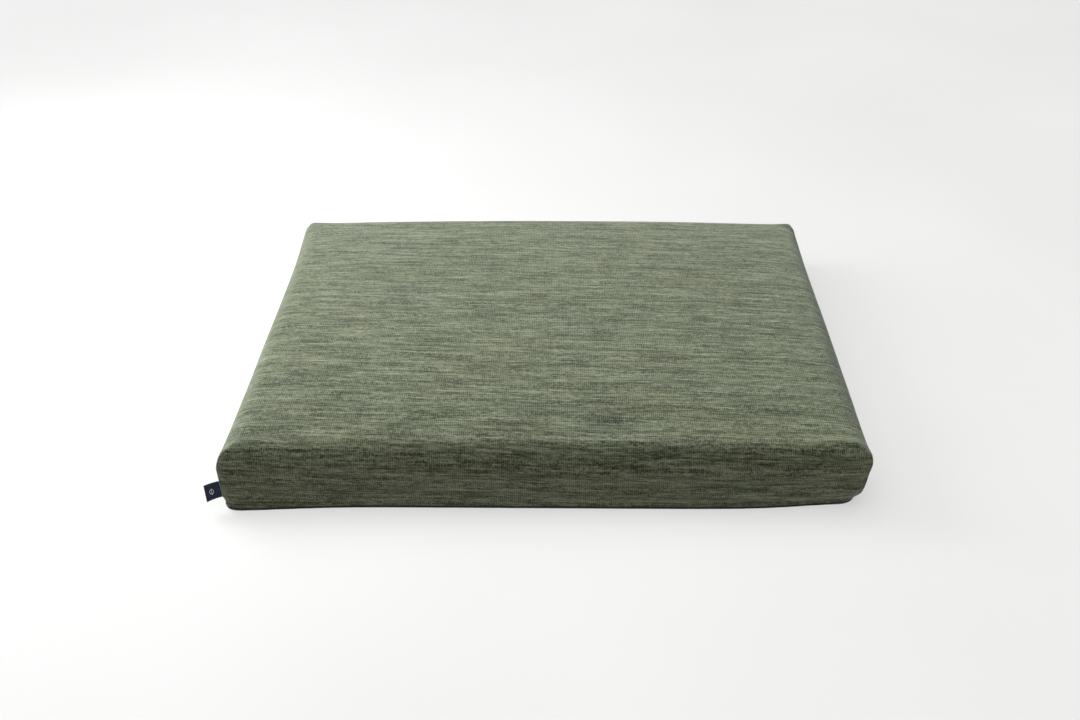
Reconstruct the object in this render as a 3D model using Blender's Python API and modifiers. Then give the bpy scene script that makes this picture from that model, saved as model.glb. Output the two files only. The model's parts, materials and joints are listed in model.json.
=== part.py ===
# Kneeling pad: a crowned foam slab inside a zipped fabric cover, lying on its black base.
# Metres, +Z up, and -Y is the front. The origin is the middle of the underside.
# Everything is nested: cover, liner, wadding and two foams, each a hair inside the one around it.

import math

import bmesh
import bpy
from mathutils import Matrix, Vector

# Driving dimensions of the finished pad
WIDTH = 0.900
DEPTH = 0.700
HEIGHT = 0.110
CROWN = 0.012          # rise of the lid's middle over its corners
TUCK = 0.006           # the foot of the sides stands this far inside their fullest line
FULL_FROM = 0.018      # the sides reach that line at this height, or at twice FLAT_FOOT at the back
LID_DRAW = (0.4, 1.2)  # and lose this share of it towards the lid, from this many lid radii below it
ZIP_FADE = (0.70, 0.95)    # shares of the half depth between which a side takes the back's form
EDGE_ROUND = 0.030     # radius of the lid's edges
CORNER_POWER = 5.0     # 2 would make the upright corners round, and more makes them squarer
GAP = 0.0003           # kept between pieces that touch

# Cloth and filling
COVER_CLOTH = 0.0016
BASE_CLOTH = 0.0018
LINER_CLOTH = 0.0008
WADDING_SIDE = 0.006
BASE_RIM = 0.0045      # the base cloth turns up this far to its seam
BASE_CORNER = 0.014    # radius of the base's corners
SUPPORT_TOP = 0.055    # height of the joint between the two foams
FOAM_TOP = 0.087
FOAM_EASE = 0.010      # the foams' edges are eased by this much

# Zip, along the foot of the back side
ZIP_HEIGHT = 0.015     # height of the chain's middle line
ZIP_HALF = 0.3765      # half the chain's length
ZIP_WINDOW = 0.380     # half the length of the window in the cover
WINDOW_TOP = 0.0205
FLAT_FOOT = 0.028      # the sides are flat and upright up to here, for the zip
CHAIN_SPLIT = 0.0007   # half the channel that the slider's post runs along
TAPE = 0.0007          # thickness
TAPE_TOP = FLAT_FOOT
TAPE_HALF = 0.392      # half the tape's length
COIL = (0.0027, 0.0020)    # height and depth of one side's coil
STOP = (0.0022, 0.0060)    # length and height
SLIDER = (0.013, 0.0092, 0.0012)  # length, width and plate thickness
PLAY = 0.0005          # between the slider and what it runs over
FLANGE = 0.0007        # thickness of the slider's folded edges
POST = (0.0010, 0.0024)    # how far behind the slider's nose its post is, and the post's length
RIM_CLEAR = 0.0009     # from the base's turned-up edge to the slider
PULL = (0.026, 0.006, 0.0012)     # length, width and thickness
PULL_SLOT = (0.0054, 0.0032)
BRIDGE = (0.0088, 0.0022, 0.0010)  # length, width and thickness

# Labels
LABEL = (0.024, 0.028, 0.0008)    # how far it stands out, its height and thickness
LABEL_LOW = 0.020      # height of its foot at the seam
LABEL_CLEAR = 0.0009   # from the cover's corner to the label's seam line
LABEL_TURN = math.radians(22)     # it points this far forward of straight left
LABEL_SAG = 0.002      # its free edge hangs this far lower than its seam
CARE_LABEL = (0.024, 0.0005, 0.023)

BACK = DEPTH / 2 - TUCK              # outer face of the cover's flat foot
SIDE = WIDTH / 2 - TUCK
LID_EDGE = HEIGHT - CROWN
TAPE_FACE = BACK - COVER_CLOTH - GAP  # outer face of the zip tape
INNER_SIDE = 0.0052                  # from the cover's outer face to the liner's
PLATE_FACE = TAPE_FACE + GAP + COIL[1] + PLAY + SLIDER[2]  # outer face of the slider
SLIDER_REST = -(ZIP_HALF - GAP - SLIDER[0] / 2)  # its nose is just short of the closed end


def new_collection(name):
    made = bpy.data.collections.new(name)
    bpy.context.scene.collection.children.link(made)
    return made


def material(name, colour, roughness, metallic=0.0):
    made = bpy.data.materials.new(name)
    made.use_nodes = True
    shader = made.node_tree.nodes["Principled BSDF"]
    shader.inputs["Base Color"].default_value = (*colour, 1.0)
    shader.inputs["Roughness"].default_value = roughness
    shader.inputs["Metallic"].default_value = metallic
    return made


for left_over in list(bpy.data.objects):
    bpy.data.objects.remove(left_over)

PARTS = new_collection("kneeling_pad")
CUTTERS = new_collection("cutters")

SAGE_CLOTH = material("sage slub cloth", (0.17, 0.20, 0.14), 0.85)
BLACK_CLOTH = material("black base cloth", (0.012, 0.012, 0.013), 0.8)
LINER_WHITE = material("white liner cloth", (0.72, 0.72, 0.70), 0.7)
WADDING = material("fibre wadding", (0.85, 0.85, 0.83), 0.95)
SOFT_FOAM = material("soft foam", (0.80, 0.76, 0.62), 0.9)
FIRM_FOAM = material("firm foam", (0.42, 0.46, 0.50), 0.9)
ZIP_CLOTH = material("black zip tape", (0.015, 0.015, 0.017), 0.75)
ZIP_NYLON = material("black nylon coil", (0.02, 0.02, 0.022), 0.4)
ZIP_METAL = material("blackened zinc", (0.09, 0.09, 0.10), 0.35, 1.0)
NAVY_WEAVE = material("navy woven ribbon", (0.008, 0.016, 0.055), 0.6)
SATIN = material("white satin ribbon", (0.80, 0.80, 0.78), 0.4)


def add_part(name, mesh_data, finish):
    """A new part holding this mesh, with its own material."""
    part = bpy.data.objects.new(name, mesh_data)
    PARTS.objects.link(part)
    part.data.materials.clear()
    part.data.materials.append(finish)
    return part


def as_cutter(helper):
    """Moves an object among the cutters, where it isn't rendered."""
    for holder in list(helper.users_collection):
        holder.objects.unlink(helper)
    CUTTERS.objects.link(helper)
    helper.hide_render = True
    helper.display_type = "WIRE"


def combine(part, helper, operation):
    """Joins the helper to the part, or cuts it away."""
    as_cutter(helper)
    modifier = part.modifiers.new(operation.lower(), "BOOLEAN")
    modifier.operation = operation
    modifier.object = helper


def box_mesh(name, low, high):
    mesh_data = bpy.data.meshes.new(name)
    shape = bmesh.new()
    bmesh.ops.create_cube(shape, size=1.0)
    low, high = Vector(low), Vector(high)
    size = high - low
    for corner in shape.verts:
        corner.co = Vector([c * s for c, s in zip(corner.co, size)]) + (low + high) / 2
    shape.to_mesh(mesh_data)
    shape.free()
    return mesh_data


def box(name, low, high, finish, ease=0.0, steps=2):
    """A block between two corners, its edges eased by that much."""
    part = add_part(name, box_mesh(name, low, high), finish)
    if ease:
        soften = part.modifiers.new("eased edges", "BEVEL")
        soften.width = ease
        soften.segments = steps
    return part


def ease_upright_edges(mesh_data, radius, steps):
    """Rounds the four upright edges of a block."""
    shape = bmesh.new()
    shape.from_mesh(mesh_data)
    upright = [edge for edge in shape.edges if edge.verts[0].co.xy == edge.verts[1].co.xy]
    bmesh.ops.bevel(shape, geom=upright, offset=radius, segments=steps, affect="EDGES", profile=0.5)
    shape.to_mesh(mesh_data)
    shape.free()


def share(value, low, high):
    """How far a value is from low to high, from 0 to 1."""
    return min(max((value - low) / (high - low), 0.0), 1.0)


def soften_to_pad(point, half_x, half_y, lid, radius):
    """Moves a point of a plain box to the padded form: round lid edges, full sides and a crown."""
    over_x = max(abs(point.x) - (half_x - radius), 0.0)
    over_y = max(abs(point.y) - (half_y - radius), 0.0)
    over_z = max(point.z - (lid - radius), 0.0)
    across = (over_x**CORNER_POWER + over_y**CORNER_POWER) ** (1 / CORNER_POWER)
    reach = math.hypot(across, over_z)
    inside = max(over_x, over_y, over_z) < radius - GAP / 2
    shrink = 1.0 if inside else radius / reach
    x = math.copysign(abs(point.x) - over_x * (1 - shrink), point.x)
    y = math.copysign(abs(point.y) - over_y * (1 - shrink), point.y)
    z = point.z - over_z * (1 - shrink)
    on_lid = share(z, lid - radius, lid)
    crown = CROWN * (1 - ((x / half_x) ** 2 + (y / half_y) ** 2) / 2) * on_lid
    at_zip = share(y / half_y, *ZIP_FADE)
    risen = share(z, BASE_RIM + GAP, FULL_FROM) * (1 - at_zip) + share(z, FLAT_FOOT, 2 * FLAT_FOOT) * at_zip
    drawn, radii = LID_DRAW
    full = TUCK * risen * (1 - drawn * share(z, lid - radii * radius, lid))
    x += math.copysign(full * abs(x / half_x) ** 8, x)
    y += math.copysign(full * abs(y / half_y) ** 8, y)
    return Vector((x, y, z + crown))


def pad_shell(name, side, top, foot, finish, cloth=0.0, inner_cells=(8, 6), edge_steps=2):
    """The padded form, this far inside the cover's outer face. With a cloth thickness it is
    a tray open below, and without one it is a closed block."""
    half_x, half_y = SIDE - side, BACK - side
    lid = LID_EDGE - top
    radius = EDGE_ROUND - (side + top) / 2
    shape = bmesh.new()
    bmesh.ops.create_cube(shape, size=1.0)
    for corner in shape.verts:
        x, y, z = corner.co
        corner.co = Vector((2 * half_x * x, 2 * half_y * y, foot if z < 0 else lid))
    rise = [radius * math.tan(math.pi / 4 * step / edge_steps) for step in range(edge_steps)]
    for axis, half, cells in ((Vector((1, 0, 0)), half_x, inner_cells[0]),
                              (Vector((0, 1, 0)), half_y, inner_cells[1])):
        flat = half - radius
        cuts = [flat * (2 * step / cells - 1) for step in range(1, cells)]
        cuts += [sign * (flat + r) for r in rise for sign in (-1, 1)]
        slice_across(shape, axis, cuts)
    levels = [FULL_FROM, FLAT_FOOT, 2 * FLAT_FOOT] + [lid - radius + r for r in rise]
    slice_across(shape, Vector((0, 0, 1)), levels)
    for corner in shape.verts:
        corner.co = soften_to_pad(corner.co, half_x, half_y, lid, radius)
    if cloth:
        shape.normal_update()
        below = [face for face in shape.faces
                 if face.normal.z < -0.9 and face.calc_center_median().z < foot + GAP]
        bmesh.ops.delete(shape, geom=below, context="FACES")
    mesh_data = bpy.data.meshes.new(name)
    shape.to_mesh(mesh_data)
    shape.free()
    part = add_part(name, mesh_data, finish)
    if cloth:
        wall = part.modifiers.new("cloth thickness", "SOLIDIFY")
        wall.thickness = cloth
        wall.offset = -1.0
        wall.use_even_offset = True
    mesh_data.shade_smooth()
    return part


def slice_across(shape, axis, places):
    """Cuts a loop through the mesh at each place along the axis."""
    for place in places:
        everything = shape.verts[:] + shape.edges[:] + shape.faces[:]
        bmesh.ops.bisect_plane(shape, geom=everything, plane_co=axis * place, plane_no=axis)


def slab(name, half_x, half_y, low, high, finish, corner=0.012, steps=3):
    """A flat sheet or foam slab with round upright corners."""
    mesh_data = box_mesh(name, (-half_x, -half_y, low), (half_x, half_y, high))
    ease_upright_edges(mesh_data, corner, steps)
    return add_part(name, mesh_data, finish)


# The outer cover: the sage shell, cut away at the back for the zip, and the black base
def make_cover():
    cover = pad_shell("cover_shell", 0.0, 0.0, BASE_RIM + GAP, SAGE_CLOTH, COVER_CLOTH, (10, 8), 3)
    reach = 2 * INNER_SIDE
    window = box("zip_window", (-ZIP_WINDOW, BACK - reach, 0.0), (ZIP_WINDOW, BACK + reach, WINDOW_TOP),
                 SAGE_CLOTH)
    combine(cover, window, "DIFFERENCE")


def make_base():
    base = slab("base_panel", SIDE, BACK, 0.0, BASE_RIM, BLACK_CLOTH, BASE_CORNER, 4)
    hollow = slab("base_hollow", SIDE - COVER_CLOTH, BACK - COVER_CLOTH, BASE_CLOTH, 2 * BASE_RIM,
                  BLACK_CLOTH, BASE_CORNER - COVER_CLOTH, 4)
    combine(base, hollow, "DIFFERENCE")
    turn_up = box("zip_turn_up", (-ZIP_WINDOW + GAP, BACK - COVER_CLOTH, BASE_RIM / 2),
                  (ZIP_WINDOW - GAP, BACK, ZIP_HEIGHT - SLIDER[1] / 2 - RIM_CLEAR), BLACK_CLOTH)
    combine(base, turn_up, "UNION")


# The pad inside: liner, wadding and the two foams
def make_liner():
    foot = BASE_CLOTH + GAP + LINER_CLOTH + GAP
    pad_shell("liner_top", INNER_SIDE, COVER_CLOTH + GAP, foot, LINER_WHITE, LINER_CLOTH)
    slab("liner_base", SIDE - INNER_SIDE, BACK - INNER_SIDE, BASE_CLOTH + GAP,
         BASE_CLOTH + GAP + LINER_CLOTH, LINER_WHITE)
    return foot


def make_filling(foot):
    side = INNER_SIDE + LINER_CLOTH + GAP
    top = COVER_CLOTH + LINER_CLOTH + 2 * GAP
    foam_x = SIDE - side - WADDING_SIDE - GAP
    foam_y = BACK - side - WADDING_SIDE - GAP
    wadding = pad_shell("wadding_wrap", side, top, foot, WADDING)
    hollow = slab("foam_hollow", foam_x + GAP, foam_y + GAP, 0.0, FOAM_TOP + GAP, WADDING)
    combine(wadding, hollow, "DIFFERENCE")
    slab("support_foam", foam_x, foam_y, foot, SUPPORT_TOP, FIRM_FOAM)
    soft = slab("memory_foam", foam_x, foam_y, SUPPORT_TOP + GAP, FOAM_TOP, SOFT_FOAM)
    ease_lid(soft, FOAM_TOP)
    ease_lid(hollow, FOAM_TOP + GAP)


def ease_lid(part, height):
    """Chamfers the edges around a slab's top."""
    shape = bmesh.new()
    shape.from_mesh(part.data)
    rim = [edge for edge in shape.edges if min(corner.co.z for corner in edge.verts) > height - GAP / 2]
    bmesh.ops.bevel(shape, geom=rim, offset=FOAM_EASE, segments=2, affect="EDGES", profile=0.5)
    shape.to_mesh(part.data)
    shape.free()


# The zip
def make_zip_chain():
    tape_back = TAPE_FACE - TAPE
    low, high = BASE_CLOTH + GAP, ZIP_HEIGHT - CHAIN_SPLIT
    box("zip_tape_lower", (-TAPE_HALF, tape_back, low), (TAPE_HALF, TAPE_FACE, high), ZIP_CLOTH)
    low, high = ZIP_HEIGHT + CHAIN_SPLIT, TAPE_TOP
    box("zip_tape_upper", (-TAPE_HALF, tape_back, low), (TAPE_HALF, TAPE_FACE, high), ZIP_CLOTH)
    coil_back = TAPE_FACE + GAP
    for name, side in (("zip_coil_lower", -1), ("zip_coil_upper", 1)):
        ends = sorted(ZIP_HEIGHT + side * rise for rise in (CHAIN_SPLIT, CHAIN_SPLIT + COIL[0]))
        box(name, (-ZIP_HALF, coil_back, ends[0]), (ZIP_HALF, coil_back + COIL[1], ends[1]),
            ZIP_NYLON, 0.4 * COIL[1])
    low, high = ZIP_HEIGHT - STOP[1] / 2, ZIP_HEIGHT + STOP[1] / 2
    for name, side in (("zip_stop_closed", -1), ("zip_stop_open", 1)):
        ends = sorted(side * (ZIP_HALF + GAP + step) for step in (0.0, STOP[0]))
        box(name, (ends[0], coil_back, low), (ends[1], coil_back + COIL[1], high), ZIP_METAL, 0.2 * STOP[0])


def make_slider():
    length, width, plate = SLIDER
    nose = SLIDER_REST - length / 2
    coil_face = TAPE_FACE + GAP + COIL[1]
    back_face = TAPE_FACE - TAPE - PLAY
    low, high = ZIP_HEIGHT - width / 2, ZIP_HEIGHT + width / 2
    slider = box("zip_slider", (nose, coil_face + PLAY, low), (nose + length, PLATE_FACE, high), ZIP_METAL)
    pieces = [
        box("slider_back", (nose, back_face - plate, low), (nose + length, back_face, high), ZIP_METAL),
        box("slider_post", (nose + POST[0], back_face - plate / 2, ZIP_HEIGHT - CHAIN_SPLIT / 2),
            (nose + POST[0] + POST[1], PLATE_FACE - plate / 2, ZIP_HEIGHT + CHAIN_SPLIT / 2), ZIP_METAL),
    ]
    for edge, inward in ((low, FLANGE), (high, -FLANGE)):
        ends = sorted((edge, edge + inward))
        pieces.append(box("slider_flange", (nose, TAPE_FACE + PLAY, ends[0]),
                          (nose + length, PLATE_FACE - plate / 2, ends[1]), ZIP_METAL))
    bridge_length, bridge_width, bar = BRIDGE
    arch_low = PLATE_FACE + PULL[2] + 2 * GAP
    half = bridge_length / 2
    z_ends = (ZIP_HEIGHT - bridge_width / 2, ZIP_HEIGHT + bridge_width / 2)
    pieces.append(box("bridge_bar", (SLIDER_REST - half, arch_low, z_ends[0]),
                      (SLIDER_REST + half, arch_low + bar, z_ends[1]), ZIP_METAL))
    for side in (-1, 1):
        ends = sorted((SLIDER_REST + side * half, SLIDER_REST + side * (half - bar)))
        pieces.append(box("bridge_foot", (ends[0], PLATE_FACE - plate / 2, z_ends[0]),
                          (ends[1], arch_low + bar / 2, z_ends[1]), ZIP_METAL))
    for piece in pieces:
        combine(slider, piece, "UNION")


def make_pull():
    """The tab hangs on a bar under the bridge. Its origin is that bar's axis, which is upright."""
    length, width, thick = PULL
    hinge = bpy.data.objects.new("pull_hinge", None)
    hinge.location = (SLIDER_REST, PLATE_FACE + GAP + thick / 2, ZIP_HEIGHT)
    PARTS.objects.link(hinge)
    mesh_data = box_mesh("zip_pull", (0.0, -thick / 2, -width / 2), (length, thick / 2, width / 2))
    shape = bmesh.new()
    shape.from_mesh(mesh_data)
    tip = [edge for edge in shape.edges if all(corner.co.x > length - GAP for corner in edge.verts)
           and abs(edge.verts[0].co.y - edge.verts[1].co.y) > GAP]
    bmesh.ops.bevel(shape, geom=tip, offset=width * 0.35, segments=3, affect="EDGES", profile=0.5)
    shape.to_mesh(mesh_data)
    shape.free()
    pull = add_part("zip_pull", mesh_data, ZIP_METAL)
    slot = box("pull_slot", (-thick, -thick, -PULL_SLOT[1] / 2), (PULL_SLOT[0], thick, PULL_SLOT[1] / 2),
               ZIP_METAL)
    bpy.ops.mesh.primitive_cylinder_add(vertices=16, radius=thick / 2, depth=width)
    bar = bpy.context.object
    bar.name = "pull_bar"
    combine(pull, slot, "DIFFERENCE")
    combine(pull, bar, "UNION")
    for piece in (pull, slot, bar):
        piece.parent = hinge


# Labels
def corner_line(height):
    """The middle of the front left corner's surface, at this height."""
    plain = Vector((-SIDE, -BACK, height))
    return soften_to_pad(plain, SIDE, BACK, LID_EDGE, EDGE_ROUND)


def make_side_label():
    """The folded ribbon sewn into the front left corner. Its origin is on its seam, the
    upright line that it flaps about."""
    out, height, thick = LABEL
    foot, head = corner_line(LABEL_LOW), corner_line(LABEL_LOW + height)
    upward = (head - foot).normalized()
    outward = Vector((-math.cos(LABEL_TURN), -math.sin(LABEL_TURN), 0.0))
    outward = (outward - upward * outward.dot(upward)).normalized()
    clear = Vector((-1, -1, 0)).normalized() * LABEL_CLEAR
    seam = bpy.data.objects.new("label_seam", None)
    turn = Matrix((-outward, upward.cross(-outward), upward)).transposed()
    seam.matrix_world = Matrix.Translation((foot + head) / 2 + clear) @ turn.to_4x4()
    PARTS.objects.link(seam)
    mesh_data = box_mesh("side_label", (-out, -thick / 2, -height / 2), (0.0, thick / 2, height / 2))
    shape = bmesh.new()
    shape.from_mesh(mesh_data)
    slice_across(shape, Vector((1, 0, 0)), [-out * step / 4 for step in (1, 2, 3)])
    for corner in shape.verts:
        corner.co.z -= LABEL_SAG * (-corner.co.x / out) ** 1.5
    shape.to_mesh(mesh_data)
    shape.free()
    label = add_part("side_label", mesh_data, NAVY_WEAVE)
    label.parent = seam


def make_care_label():
    """The satin ribbon inside the cover, past the open end of the zip."""
    length, thick, height = CARE_LABEL
    near = TAPE_HALF + 0.1 * length
    middle = BACK - (COVER_CLOTH + INNER_SIDE) / 2
    box("care_label", (near, middle - thick / 2, BASE_RIM),
        (near + length, middle + thick / 2, BASE_RIM + height), SATIN)


def main():
    make_cover()
    make_base()
    foot = make_liner()
    make_filling(foot)
    make_zip_chain()
    make_slider()
    make_pull()
    make_side_label()
    make_care_label()


main()
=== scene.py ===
# Kneeling pad: the looks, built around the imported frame. Metres, +Z up, and the front is -Y.
# The zip runs along the foot of the back, and the label is in the left front corner seam.

import json
import math

import bpy
from mathutils import Matrix, Vector, noise


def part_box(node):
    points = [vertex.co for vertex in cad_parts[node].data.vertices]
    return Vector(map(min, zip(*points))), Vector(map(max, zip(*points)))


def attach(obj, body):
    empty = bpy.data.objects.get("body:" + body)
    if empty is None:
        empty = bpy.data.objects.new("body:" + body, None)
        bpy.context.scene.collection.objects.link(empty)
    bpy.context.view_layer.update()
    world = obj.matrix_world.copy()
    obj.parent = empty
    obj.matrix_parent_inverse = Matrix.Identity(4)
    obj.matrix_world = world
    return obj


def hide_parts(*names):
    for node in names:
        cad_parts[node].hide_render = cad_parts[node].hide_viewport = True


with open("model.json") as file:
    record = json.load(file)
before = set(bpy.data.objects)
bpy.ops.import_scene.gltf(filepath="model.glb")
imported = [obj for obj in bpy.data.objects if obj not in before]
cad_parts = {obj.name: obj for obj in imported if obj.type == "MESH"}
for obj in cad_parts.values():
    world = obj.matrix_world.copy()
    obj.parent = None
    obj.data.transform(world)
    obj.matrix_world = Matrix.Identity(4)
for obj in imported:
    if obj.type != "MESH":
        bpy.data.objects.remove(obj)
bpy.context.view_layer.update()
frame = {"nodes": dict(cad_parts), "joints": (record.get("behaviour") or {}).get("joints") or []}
print("frame loaded")

mm = 0.001
scene = bpy.context.scene


# small helpers

def smooth(low, high, value):  # 0 below low, 1 above high, and eased between them
    share = min(max((value - low) / (high - low), 0.0), 1.0)
    return share * share * (3 - 2 * share)


def linearColour(code):  # sRGB hex to the linear values that a shader takes
    channels = [int(code[at:at + 2], 16) / 255 for at in (1, 3, 5)]
    return [c / 12.92 if c <= 0.04045 else ((c + 0.055) / 1.055) ** 2.4 for c in channels] + [1.0]


def addNode(tree, kind, settings=None, links=None):  # inputs go by name or number, the rest by name
    node = tree.nodes.new("ShaderNode" + kind)
    for name, value in (settings or {}).items():
        if isinstance(name, str) and hasattr(node, name):
            setattr(node, name, value)
        else:
            node.inputs[name].default_value = value
    for name, source in (links or {}).items():
        tree.links.new(source.outputs[0] if hasattr(source, "outputs") else source, node.inputs[name])
    return node


def newMaterial(name, settings):  # fixed values are set on the shader's own sockets
    made = bpy.data.materials.new(name)
    made.use_nodes = True
    shader = made.node_tree.nodes["Principled BSDF"]
    for socket, value in settings.items():
        shader.inputs[socket].default_value = value
    return made, made.node_tree, shader


def colourRamp(node, stops):  # [(place, hex)], from low to high
    elements = node.color_ramp.elements
    for place, code in stops[1:-1]:
        elements.new(place).color = linearColour(code)
    for element, (place, code) in ((elements[0], stops[0]), (elements[len(elements) - 1], stops[-1])):
        element.position = place
        element.color = linearColour(code)


def meshPiece(name, verts, faces, material, flat=False):
    mesh = bpy.data.meshes.new(name)
    mesh.from_pydata(verts, [], faces)
    mesh.materials.append(material)
    if not flat:
        mesh.shade_smooth()
    piece = bpy.data.objects.new(name, mesh)
    scene.collection.objects.link(piece)
    return piece


def applyModifiers(piece):
    depsgraph = bpy.context.evaluated_depsgraph_get()
    mesh = bpy.data.meshes.new_from_object(piece.evaluated_get(depsgraph), preserve_all_data_layers=True,
                                           depsgraph=depsgraph)
    piece.modifiers.clear()
    piece.data = mesh


def refine(piece):  # one round of subdivision, which the next apply takes up
    finer = piece.modifiers.new("finer", "SUBSURF")
    finer.levels = finer.render_levels = 1


def thicken(piece, thickness, offset=-1.0, even=False):  # a skin becomes cloth as thick as this, inward
    wall = piece.modifiers.new("cloth", "SOLIDIFY")
    wall.thickness = thickness
    wall.offset = offset
    wall.use_even_offset = even
    applyModifiers(piece)


def ringFaces(first, rings, sides):  # the skin of rings of points, one after another, closed at both ends
    faces = []
    for near in range(first, first + (rings - 1) * sides, sides):
        for side in range(sides):
            a, b = near + side, near + (side + 1) % sides
            faces.append((a, b, b + sides, a + sides))
    last = first + rings * sides
    return faces + [tuple(reversed(range(first, first + sides))), tuple(range(last - sides, last))]


def tube(paths, radius, sides=6):  # round threads and wires along lists of points
    verts, faces = [], []
    for path in paths:
        faces += ringFaces(len(verts), len(path), sides)
        across = None
        for at, point in enumerate(path):
            run = (path[min(at + 1, len(path) - 1)] - path[max(at - 1, 0)]).normalized()
            across = across or run.orthogonal()
            across = (across - run * across.dot(run)).normalized()
            up = run.cross(across)
            for side in range(sides):
                turn = 2 * math.pi * side / sides
                verts.append(point + (across * math.cos(turn) + up * math.sin(turn)) * radius)
    return verts, faces


def finishPiece(piece, body, slotName, *nodes):
    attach(piece, body)
    if nodes:
        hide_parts(*nodes)
    return piece


# Camera, floor and light

studio = {
    "cameraPlace": (0.020, -1.545, 1.065),
    "yaw": -1.23, "pitch": 34.18, "roll": -0.5,   # degrees
    "sensor": 36, "lens": 38.05,
    "floorReach": 30.0,                           # metres each way, so that its edge is out of sight
    "floorColours": [(0.3, "#cac6c6"), (0.7, "#cecaca")],
    "backdrop": "#f1f1f0",                        # what the camera sees above the floor
    "worldColour": "#fbfaf6", "worldStrength": 0.16,
    "lampColour": "#f3f9f8",                      # daylight, a little cooler than the board's bounce
    # sun: tilt from overhead, direction it leans towards (0 is right, 90 is back), softness, strength.
    # The low one rakes over the weave from behind and casts no shadow, as if from a wide window.
    "suns": {"raking": (62, 132, 30, 5.8, False), "overhead": (10, 200, 70, 1.4, True)},
    # a lamp on a stand by the left side, as its place, size and power, so that the left is brighter
    "sideLamp": ((-1.25, 0.35, 0.95), 0.8, 13.0),
}


def hangLamp(name, kind, strength):
    lamp = bpy.data.lights.new(name, kind)
    lamp.energy = strength
    lamp.color = linearColour(studio["lampColour"])[:3]
    holder = bpy.data.objects.new(name, lamp)
    scene.collection.objects.link(holder)
    return holder


def setStudio():
    camera = bpy.data.objects.new("camera", bpy.data.cameras.new("camera"))
    scene.collection.objects.link(camera)
    turn = Matrix.Rotation(math.radians(-studio["yaw"]), 4, "Z")
    tilt = Matrix.Rotation(math.radians(90 - studio["pitch"]), 4, "X")
    roll = Matrix.Rotation(math.radians(studio["roll"]), 4, "Z")
    camera.matrix_world = Matrix.Translation(studio["cameraPlace"]) @ turn @ tilt @ roll
    camera.data.sensor_width = studio["sensor"]
    camera.data.lens = studio["lens"]
    scene.camera = camera
    scene.view_settings.view_transform = "Standard"

    # painted board: even and matt, with a trace of unevenness
    made, tree, shader = newMaterial("matt painted board", {"Roughness": 0.85, "Specular IOR Level": 0.2})
    coords = addNode(tree, "TexCoord").outputs["Object"]
    patches = addNode(tree, "TexNoise", {"Scale": 1.5, "Detail": 2.0}, {"Vector": coords})
    paint = addNode(tree, "ValToRGB", {}, {"Fac": patches})
    colourRamp(paint, studio["floorColours"])
    tree.links.new(paint.outputs[0], shader.inputs["Base Color"])
    reach = studio["floorReach"]
    corners = [(-reach, -reach, 0), (reach, -reach, 0), (reach, reach, 0), (-reach, reach, 0)]
    meshPiece("floor", corners, [(0, 1, 2, 3)], made)

    world = bpy.data.worlds.new("studio")
    scene.world = world
    world.use_nodes = True
    tree = world.node_tree
    sky = tree.nodes["Background"]
    sky.inputs["Color"].default_value = linearColour(studio["worldColour"])
    sky.inputs["Strength"].default_value = studio["worldStrength"]
    wall = addNode(tree, "Background", {"Color": linearColour(studio["backdrop"])})
    seen = addNode(tree, "LightPath").outputs["Is Camera Ray"]
    view = addNode(tree, "MixShader", {}, {0: seen, 1: sky, 2: wall})
    tree.links.new(view.outputs[0], tree.nodes["World Output"].inputs[0])

    for name, (tiltBy, towards, softness, strength, castsShadow) in studio["suns"].items():
        sun = hangLamp(name, "SUN", strength)
        sun.data.angle = math.radians(softness)
        sun.data.use_shadow = castsShadow
        sun.rotation_euler = (0, math.radians(tiltBy), math.radians(towards))
    stand, size, power = studio["sideLamp"]
    side = hangLamp("side", "AREA", power)
    side.data.size = size
    side.location = stand
    side.rotation_euler = Vector(stand).to_track_quat("Z", "Y").to_euler()


setStudio()
print("studio set")


# Materials

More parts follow.
